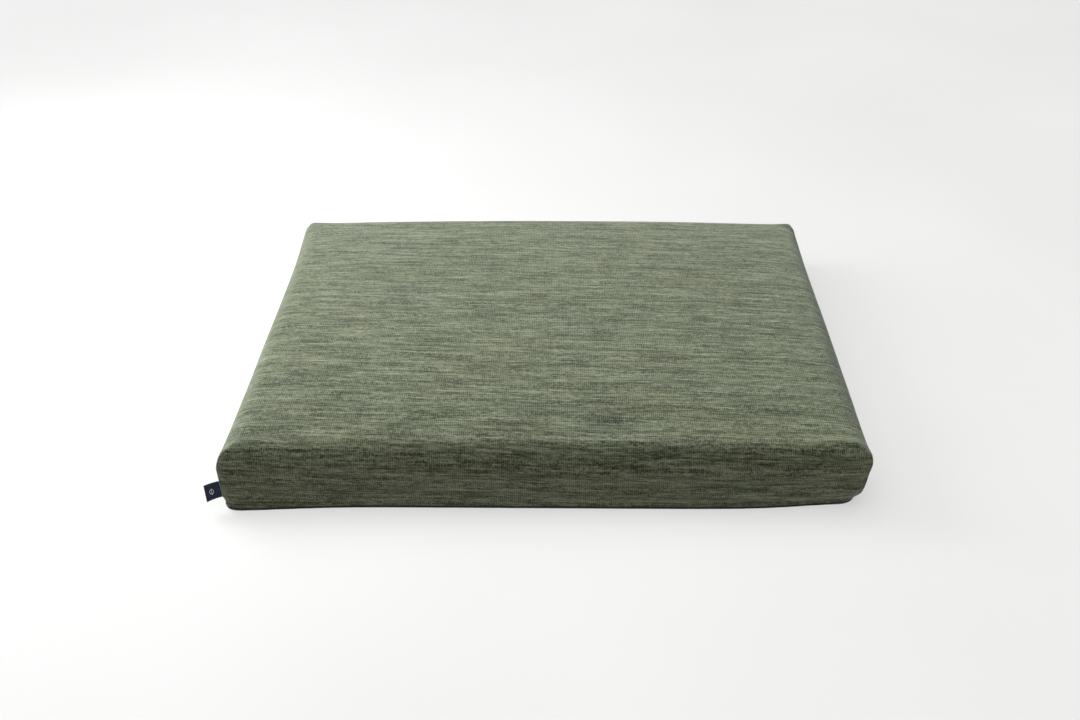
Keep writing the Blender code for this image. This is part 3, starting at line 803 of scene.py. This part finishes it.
def makeLiner():
    side, top = inner["linerSide"], inner["linerTop"]
    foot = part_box("liner_top")[0].z
    xPlaces, yPlaces = innerPlaces((sideX - side, sideY - side), edgeRadius(side, top))
    verts, faces, cloth, ring = skin(xPlaces, yPlaces, innerLevels(foot, side, top),
                                     lambda x, y, z: padPoint(x, y, z, side, top))
    piece = meshPiece("liner", verts, faces, linerTricot)
    refine(piece)
    thicken(piece, inner["linerCloth"])
    finishPiece(piece, "pad", "liner_cloth", "liner_top")

    low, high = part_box("liner_base")
    piece = slab("liner_floor", high, low.z, high.z, form["edgeRound"], inner["floorEase"],
                 inner["floorEase"], linerTricot, side)
    finishPiece(piece, "pad", "liner_cloth", "liner_base")


def slabPoint(x, y, z, half, low, high, corner, easeLow, easeHigh):
    overX = max(abs(x) - (half.x - corner), 0.0)
    overY = max(abs(y) - (half.y - corner), 0.0)
    reach = math.hypot(overX, overY)
    shrink = max(overX, overY) / reach if reach else 1.0
    inset = 0.0
    for ease, depth in ((easeLow, z - low), (easeHigh, high - z)):
        if depth < ease:
            inset += ease - math.sqrt(max(ease ** 2 - (ease - depth) ** 2, 0.0))
    px = math.copysign(abs(x) - overX * (1 - shrink), x) * (1 - inset / half.x)
    py = math.copysign(abs(y) - overY * (1 - shrink), y) * (1 - inset / half.y)
    return Vector((px, py, z)) + cornerPull(x, y, z)


def slabLevels(low, high, easeLow, easeHigh):
    steps = (0.0, 0.08, 0.3, 0.62, 1.0)
    rising = [low + easeLow * step for step in steps]
    rising += [(low + easeLow + high - easeHigh) / 2]
    return [(z, 0.0) for z in rising + [high - easeHigh * step for step in reversed(steps)]]


def slab(name, half, low, high, corner, easeLow, easeHigh, material, rollSide=None):
    xPlaces, yPlaces = innerPlaces(half, corner)

    def place(x, y, z):
        point = slabPoint(x, y, z, half, low, high, corner, easeLow, easeHigh)
        if rollSide is not None:     # a floor sheet that keeps inside the rolled foot
            foot = padPoint(x, y, max(z, coverLow.z), rollSide)
            point.x, point.y = foot.x * inner["floorIn"], foot.y * inner["floorIn"]
        return point

    verts, faces = skin(xPlaces, yPlaces, slabLevels(low, high, easeLow, easeHigh), place, None, True)[:2]
    return meshPiece(name, verts, faces, material)


def makeFilling():
    for name, node, slotName, ease, material in (
            ("foam_support", "support_foam", "firm_foam", inner["cutEase"], firmFoam),
            ("foam_memory", "memory_foam", "soft_foam", inner["lidEase"], softFoam)):
        low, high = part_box(node)
        piece = slab(name, high, low.z, high.z, inner["foamCorner"], inner["cutEase"], ease, material)
        finishPiece(piece, "pad", slotName, node)

    # the wadding is one closed shell between its outer form and the hollow that the foams fill
    side, top = inner["waddingSide"], inner["waddingTop"]
    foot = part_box("wadding_wrap")[0].z
    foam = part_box("memory_foam")[1]
    hollow = foam + Vector((1, 1, 1)) * inner["gap"]
    xPlaces, yPlaces = innerPlaces((sideX - side, sideY - side), edgeRadius(side, top))
    levels = innerLevels(foot, side, top)

    def outerPoint(x, y, z):
        point = padPoint(x, y, z, side, top)
        dip = inner["fluff"] * (0.5 + 0.5 * noise.noise(point / inner["tuft"]))
        return Vector((point.x * (1 - dip / sideX), point.y * (1 - dip / sideY), point.z - dip * (z > foot)))

    lidLevel = levels[-1][0]

    def hollowPoint(x, y, z):
        scaled = (x * hollow.x / (sideX - side), y * hollow.y / (sideY - side))
        height = foot + (hollow.z - foot) * (z - foot) / (lidLevel - foot)
        return slabPoint(*scaled, height, hollow, foot, hollow.z, inner["foamCorner"], 0.0, inner["lidEase"])

    verts, faces, cloth, ring = skin(xPlaces, yPlaces, levels, outerPoint)
    hollowVerts = skin(xPlaces, yPlaces, levels, hollowPoint)[0]
    count = len(verts)
    inside = [tuple(count + v for v in reversed(face)) for face in faces]
    pairs = list(zip(ring, ring[1:] + ring[:1]))
    floor = [(a, count + a, count + b, b) for a, b in pairs]
    piece = meshPiece("wadding", verts + hollowVerts, faces + inside + floor, fibreWadding)
    finishPiece(piece, "pad", "wadding", "wadding_wrap")


# Zip: coils of nylon, a plated slider and pull, stops, and the stitching that holds the tapes

zipper = {
    "pitch": 1.5 * mm, "wire": 0.34 * mm, "turnPoints": 8, "meet": 0.3 * mm,
    "squareness": 0.7,                     # a power: the wire's loops are flattened, and 1 is round
    "guard": 0.3 * mm,                     # a strip of tape behind the slider, which hides the filling
    "stitch": 3.1 * mm, "stitchGap": 1.1 * mm, "thread": 0.24 * mm,
    "sewOut": 5 * mm, "sewAbove": 2.5 * mm, "sewBelow": 2.4 * mm,    # from the window's edges
    "tacks": 5, "tackFrom": 8 * mm, "tackStep": 2.4 * mm, "tackIn": 1.5 * mm,
    # along each stitch, and how far it stands out there, in thread thicknesses
    "stitchForm": ((0.0, -0.6), (0.12, 0.45), (0.5, 0.7), (0.88, 0.45), (1.0, -0.6)),
}
slider = {
    "plate": 1.2 * mm, "corner": 2.4 * mm, "ease": 0.25 * mm,
    "flange": 0.7 * mm, "flangeIn": 1.6 * mm, "flangeGap": 0.5 * mm, "flangeRound": 0.25 * mm,
    "postFrom": 1.0 * mm, "postTo": 3.4 * mm, "postHalf": 0.35 * mm, "postRound": 0.3 * mm,
    "bridgeHalf": 4.4 * mm, "bridgeSide": 1.0 * mm, "bridgeTop": 0.95 * mm, "bridgeWide": 1.1 * mm,
    "bridgeSink": 0.3 * mm, "bridgeSquare": 0.45, "bridgeSteps": 12,
    "pullRound": 1.2 * mm, "slotLong": 5.4 * mm, "slotHalf": 1.6 * mm, "slotRound": 0.8 * mm,
    "hole": (5.0 * mm, 2.2 * mm), "holeHalf": 1.3 * mm,     # from the pull's tip
    "bars": 3, "barFrom": 8.0 * mm, "barStep": 1.8 * mm, "barHalf": 1.7 * mm, "barWire": 0.35 * mm,
}
stop = {"corner": 0.8 * mm, "ease": 0.4 * mm, "ribHalf": 2.2 * mm, "ribWire": 0.3 * mm}
zipMiddle = (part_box("zip_coil_lower")[0].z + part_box("zip_coil_upper")[1].z) / 2
backFace = sideY


def makeCoils():
    for node, toward in (("zip_coil_lower", 1), ("zip_coil_upper", -1)):
        low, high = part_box(node)
        middleY, middleZ = (low.y + high.y) / 2, (low.z + high.z) / 2 + toward * zipper["meet"] / 2
        halfY = (high.y - low.y) / 2 - zipper["wire"]
        halfZ = (high.z - low.z) / 2 - zipper["wire"] + zipper["meet"] / 2
        turns = int((high.x - low.x - 2 * zipper["wire"]) / zipper["pitch"])
        shift = 0.25 * zipper["pitch"] * toward
        path = []
        for step in range(turns * zipper["turnPoints"] + 1):
            turn = 2 * math.pi * step / zipper["turnPoints"]
            c, s = math.cos(turn), math.sin(turn)
            x = -turns * zipper["pitch"] / 2 + zipper["pitch"] / (2 * math.pi) * (turn - s) + shift
            y = middleY + halfY * math.copysign(abs(c) ** zipper["squareness"], c)
            z = middleZ + halfZ * math.copysign(abs(s) ** zipper["squareness"], s)
            path.append(Vector((x, y, z)))
        verts, faces = tube([path], zipper["wire"], 6)
        piece = meshPiece(node.replace("zip_", ""), verts, faces, nylonCoil)
        finishPiece(piece, "pad", "zip_coil", node)
    for node in ("zip_tape_lower", "zip_tape_upper"):
        frame["nodes"][node].data.materials.clear()
        frame["nodes"][node].data.materials.append(zipTwill)
    low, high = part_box("zip_tape_lower")[0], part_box("zip_tape_upper")[1]
    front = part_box("zip_slider")[0].y - zipper["guard"]
    corners = [(x, y, z) for z in (low.z, high.z) for y in (front - zipper["guard"], front)
               for x in (low.x, high.x)]
    guard = meshPiece("zip_guard", corners, [(0, 2, 3, 1), (4, 5, 7, 6), (0, 1, 5, 4), (2, 6, 7, 3),
                                             (0, 4, 6, 2), (1, 3, 7, 5)], zipTwill, True)
    finishPiece(guard, "pad", "zip_tape")


def roundedOutline(low, high, radius, steps=5):    # a rectangle in the plane, its corners rounded
    points = []
    for turn, (x, z) in enumerate((high, (low[0], high[1]), low, (high[0], low[1]))):
        inX = x - math.copysign(radius, x - (low[0] + high[0]) / 2)
        inZ = z - math.copysign(radius, z - (low[1] + high[1]) / 2)
        for step in range(steps + 1):
            angle = math.pi / 2 * (turn + step / steps)
            points.append((inX + radius * math.cos(angle), inZ + radius * math.sin(angle)))
    return points


def plate(name, outlines, low, high, ease, material, upright=False):
    # A plate cut to these outlines, the later ones being holes, with eased edges. It stands in the X-Z
    # plane between two depths, or, upright, in the X-Y plane between two heights.
    curve = bpy.data.curves.new(name, "CURVE")
    curve.dimensions = "2D"
    curve.fill_mode = "BOTH"
    curve.extrude = (high - low) / 2 - ease
    curve.bevel_depth = ease
    curve.bevel_resolution = 2
    curve.offset = -ease
    for outline in outlines:
        spline = curve.splines.new("POLY")
        spline.points.add(len(outline) - 1)
        for point, (a, b) in zip(spline.points, outline):
            point.co = (a, b, 0, 1)
        spline.use_cyclic_u = True
    holder = bpy.data.objects.new(name, curve)
    scene.collection.objects.link(holder)
    mesh = bpy.data.meshes.new_from_object(holder)
    bpy.data.objects.remove(holder)
    middle = (low + high) / 2
    if upright:
        mesh.transform(Matrix.Translation((0, 0, middle)))
    else:
        mesh.transform(Matrix.Translation((0, middle, 0)) @ Matrix.Rotation(math.pi / 2, 4, "X"))
    mesh.materials.clear()
    mesh.materials.append(material)
    piece = bpy.data.objects.new(name, mesh)
    scene.collection.objects.link(piece)
    return piece


def joined(name, parts, material):
    verts, faces = [], []
    for part in parts:
        first = len(verts)
        verts += [part.matrix_world @ vertex.co for vertex in part.data.vertices]
        faces += [tuple(first + v for v in face.vertices) for face in part.data.polygons]
        bpy.data.objects.remove(part)
    return meshPiece(name, verts, faces, material, True)


def bars(places, half, depth, wire):     # small upright bars, at these places along the zip
    paths = [[Vector((x, depth, zipMiddle + share * half)) for share in (-1, 0, 1)] for x in places]
    return meshPiece("bars", *tube(paths, wire, 8), blackZinc)


def makeSlider():
    low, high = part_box("zip_slider")
    pullLow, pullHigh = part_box("zip_pull")
    face = pullLow.y - inner["gap"]
    thick, ease = slider["plate"], slider["ease"]
    outline = roundedOutline((low.x, low.z), (high.x, high.z), slider["corner"])
    parts = [plate("front_plate", [outline], face - thick, face, ease, blackZinc),
             plate("back_plate", [outline], low.y, low.y + thick, ease, blackZinc)]
    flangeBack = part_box("zip_tape_lower")[1].y + slider["flangeGap"]
    for ends in ((low.z, low.z + slider["flange"]), (high.z - slider["flange"], high.z)):
        rim = roundedOutline((low.x + slider["flangeIn"], ends[0]), (high.x - slider["flangeIn"], ends[1]),
                             slider["flangeRound"], 2)
        parts.append(plate("flange", [rim], flangeBack, face - thick / 2, 0.1 * mm, blackZinc))
    post = roundedOutline((low.x + slider["postFrom"], zipMiddle - slider["postHalf"]),
                          (low.x + slider["postTo"], zipMiddle + slider["postHalf"]), slider["postRound"], 3)
    parts.append(plate("post", [post], low.y + thick / 2, face - thick / 2, 0.05 * mm, blackZinc))

    # the bridge that the pull hangs on: a bar bent to a flat arch, its outer line and then its inner one
    middleX = (low.x + high.x) / 2
    foot, steps, square = face - slider["bridgeSink"], slider["bridgeSteps"], slider["bridgeSquare"]
    arch = []
    for inX, inY, turns in ((0, 0, range(steps + 1)),
                            (slider["bridgeSide"], slider["bridgeTop"], range(steps, -1, -1))):
        for turn in turns:
            c, s = math.cos(math.pi * turn / steps), math.sin(math.pi * turn / steps)
            arch.append((middleX + (slider["bridgeHalf"] - inX) * math.copysign(abs(c) ** square, c),
                         foot + (high.y - inY - foot) * s ** square))
    parts.append(plate("bridge", [arch], zipMiddle - slider["bridgeWide"], zipMiddle + slider["bridgeWide"],
                       0.15 * mm, blackZinc, True))
    finishPiece(joined("slider", parts, blackZinc), "zip_slider", "zip_metal", "zip_slider")

    # the pull: a tab with a slot at the hinge, a hole at its tip and three grip bars
    hinge = Vector(next(joint["pos_m"] for joint in frame["joints"] if joint["name"] == "pull_hinge"))
    half = (pullHigh.y - pullLow.y) / 2
    outer = roundedOutline((hinge.x - half, pullLow.z), (pullHigh.x, pullHigh.z), slider["pullRound"])
    slot = roundedOutline((hinge.x + half, zipMiddle - slider["slotHalf"]),
                          (hinge.x + slider["slotLong"], zipMiddle + slider["slotHalf"]), slider["slotRound"])
    holeLeft, holeRight = (pullHigh.x - inset for inset in slider["hole"])
    hole = roundedOutline((holeLeft, zipMiddle - slider["holeHalf"]),
                          (holeRight, zipMiddle + slider["holeHalf"]), slider["holeHalf"])
    tab = plate("tab", [outer, slot, hole], pullLow.y, pullHigh.y, ease, blackZinc)
    grip = bars([pullHigh.x - slider["barFrom"] - slider["barStep"] * step for step in range(slider["bars"])],
                slider["barHalf"], pullHigh.y - 0.1 * mm, slider["barWire"])
    finishPiece(joined("pull", [tab, grip], blackZinc), "zip_pull", "zip_metal", "zip_pull")


def makeStops():
    for node in ("zip_stop_closed", "zip_stop_open"):
        low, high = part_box(node)
        outline = roundedOutline((low.x, low.z), (high.x, high.z), stop["corner"])
        clamp = plate("clamp", [outline], low.y, high.y, stop["ease"], blackZinc)
        rib = bars([(low.x + high.x) / 2], stop["ribHalf"], high.y - 0.15 * mm, stop["ribWire"])
        piece = joined(node.replace("zip_", ""), [clamp, rib], blackZinc)
        finishPiece(piece, "pad", "zip_metal", node)


def stitches(start, end, length, gap):
    # A run of stitches on the back, from one place to another, each dipping into the cloth at its ends
    start, end = (Vector((x, backFace, z)) for x, z in (start, end))
    count = max(int((end - start).length / (length + gap)), 1)
    run = (end - start) / count
    share = length / (length + gap)
    out = Vector((0, zipper["thread"], 0))
    return [[start + run * (step + share * along) + out * lift for along, lift in zipper["stitchForm"]]
            for step in range(count)]


def sewZip():
    length, gap, thread = zipper["stitch"], zipper["stitchGap"], zipper["thread"]
    reach = zipWindow + zipper["sewOut"]
    above = windowTop + zipper["sewAbove"]
    runs = stitches((-reach, above), (reach, above), length, gap)
    for side in (-1, 1):                     # bar tacks at the window's ends
        near, far = sorted((side * (zipWindow + zipper["tackIn"]), side * reach))
        for step in range(zipper["tacks"]):
            z = zipper["tackFrom"] + step * zipper["tackStep"]
            runs += stitches((near, z), (far, z), 2 * length, 0)
    finishPiece(meshPiece("zip_stitching", *tube(runs, thread), sageThread), "pad", "cover_cloth")

    below = base["zipRim"] - zipper["sewBelow"]
    runs = stitches((-zipWindow, below), (zipWindow, below), length, gap)
    finishPiece(meshPiece("base_stitching", *tube(runs, thread), zipTwill), "pad", "base_cloth")


# Labels: the folded navy ribbon in the corner seam, with a plain leaf motif, and the care label

ribbon = {
    "out": 24 * mm, "height": 28 * mm, "layer": 0.28 * mm,
    "rootIn": 1.6 * mm,               # how far it goes into the seam
    "loop": 0.5 * mm,                 # the two layers stand this far apart in the middle
    "sag": 2.0 * mm, "arch": 0.8 * mm, "curl": 1.2 * mm,
    "turn": 22,                       # degrees forward of straight left
    "stepsOut": 16, "stepsUp": 14,
    "seamGap": 0.15 * mm, "opening": 1.6,    # half the gap at the seam, and how soon the loop opens
    "bendSteps": 8,
    "leaf": (9.5 * mm, 2.7 * mm), "leafOut": 15 * mm, "thread": 0.3 * mm,
    "leafSteps": 12, "leafPower": 0.9, "midrib": (0.86, 0.12),    # the midrib's length, and how far it drops
}
flap = next(joint for joint in frame["joints"] if joint["name"] == "label_flap")
labelSeam = Vector(flap["pos_m"])
labelUp = Vector(flap["axis"]).normalized()
turnAngle = math.radians(ribbon["turn"])
labelOut = Vector((-math.cos(turnAngle), -math.sin(turnAngle), 0))
labelOut = (labelOut - labelUp * labelOut.dot(labelUp)).normalized()
labelFace = labelUp.cross(labelOut)
if labelFace.y > 0:
    labelFace.negate()


def labelPoint(out, up, lift):          # a place on the label, lift being towards the front
    share = max(out / ribbon["out"], 0.0)
    hang = ribbon["arch"] * math.sin(math.pi * min(share, 1.0)) - ribbon["sag"] * share ** 1.5
    curl = ribbon["curl"] * share ** 2 * (0.5 - up / ribbon["height"])
    return labelSeam + labelOut * out + labelUp * (up + hang) + labelFace * (lift + curl)


def makeLabel():
    fold = ribbon["loop"] / 2 + ribbon["layer"] / 2
    last = ribbon["out"] - fold
    profile = []
    for step in range(ribbon["stepsOut"] + 1):
        share = step / ribbon["stepsOut"]
        out = -ribbon["rootIn"] + (last + ribbon["rootIn"]) * share
        opened = smooth(0, 1, ribbon["opening"] * share)
        profile.append((out, ribbon["seamGap"] + (fold - ribbon["seamGap"]) * opened))
    turns = [math.pi * step / ribbon["bendSteps"] for step in range(1, ribbon["bendSteps"])]
    bend = [(last + fold * math.sin(turn), fold * math.cos(turn)) for turn in turns]
    profile = profile + bend + [(out, -lift) for out, lift in reversed(profile)]
    rows = ribbon["stepsUp"]
    verts = [labelPoint(out, ribbon["height"] * (row / rows - 0.5), lift) for out, lift in profile
             for row in range(rows + 1)]
    faces = [(a, a + 1, a + rows + 2, a + rows + 1) for column in range(len(profile) - 1)
             for a in range(column * (rows + 1), column * (rows + 1) + rows)]
    piece = meshPiece("label", verts, faces, navyRibbon)
    thicken(piece, ribbon["layer"], 0.0)
    finishPiece(piece, "side_label", "label_ribbon", "side_label")

    # a plain leaf: two arcs and a midrib, raised in thread
    tall, wide = ribbon["leaf"]
    raised = fold + ribbon["layer"] / 2 + 0.3 * ribbon["thread"]
    paths = []
    for side in (-1, 0, 1):
        long, drop = (1.0, 0.0) if side else ribbon["midrib"]
        path = []
        for step in range(ribbon["leafSteps"] + 1):
            share = step / ribbon["leafSteps"]
            out = ribbon["leafOut"] + side * wide * math.sin(math.pi * share) ** ribbon["leafPower"]
            path.append(labelPoint(out, tall * ((share - 0.5) * long - drop), raised))
        paths.append(path)
    motif = meshPiece("label_motif", *tube(paths, ribbon["thread"]), whiteThread)
    finishPiece(motif, "side_label", "label_ribbon")

    care = frame["nodes"]["care_label"].data.materials
    care.clear()
    care.append(satinRibbon)


makeCover()
print("cover made")
makeBase()
makeLiner()
makeFilling()
print("base, liner and filling made")
makeCoils()
makeSlider()
makeStops()
sewZip()
print("zip made")
makeLabel()
print("labels made")
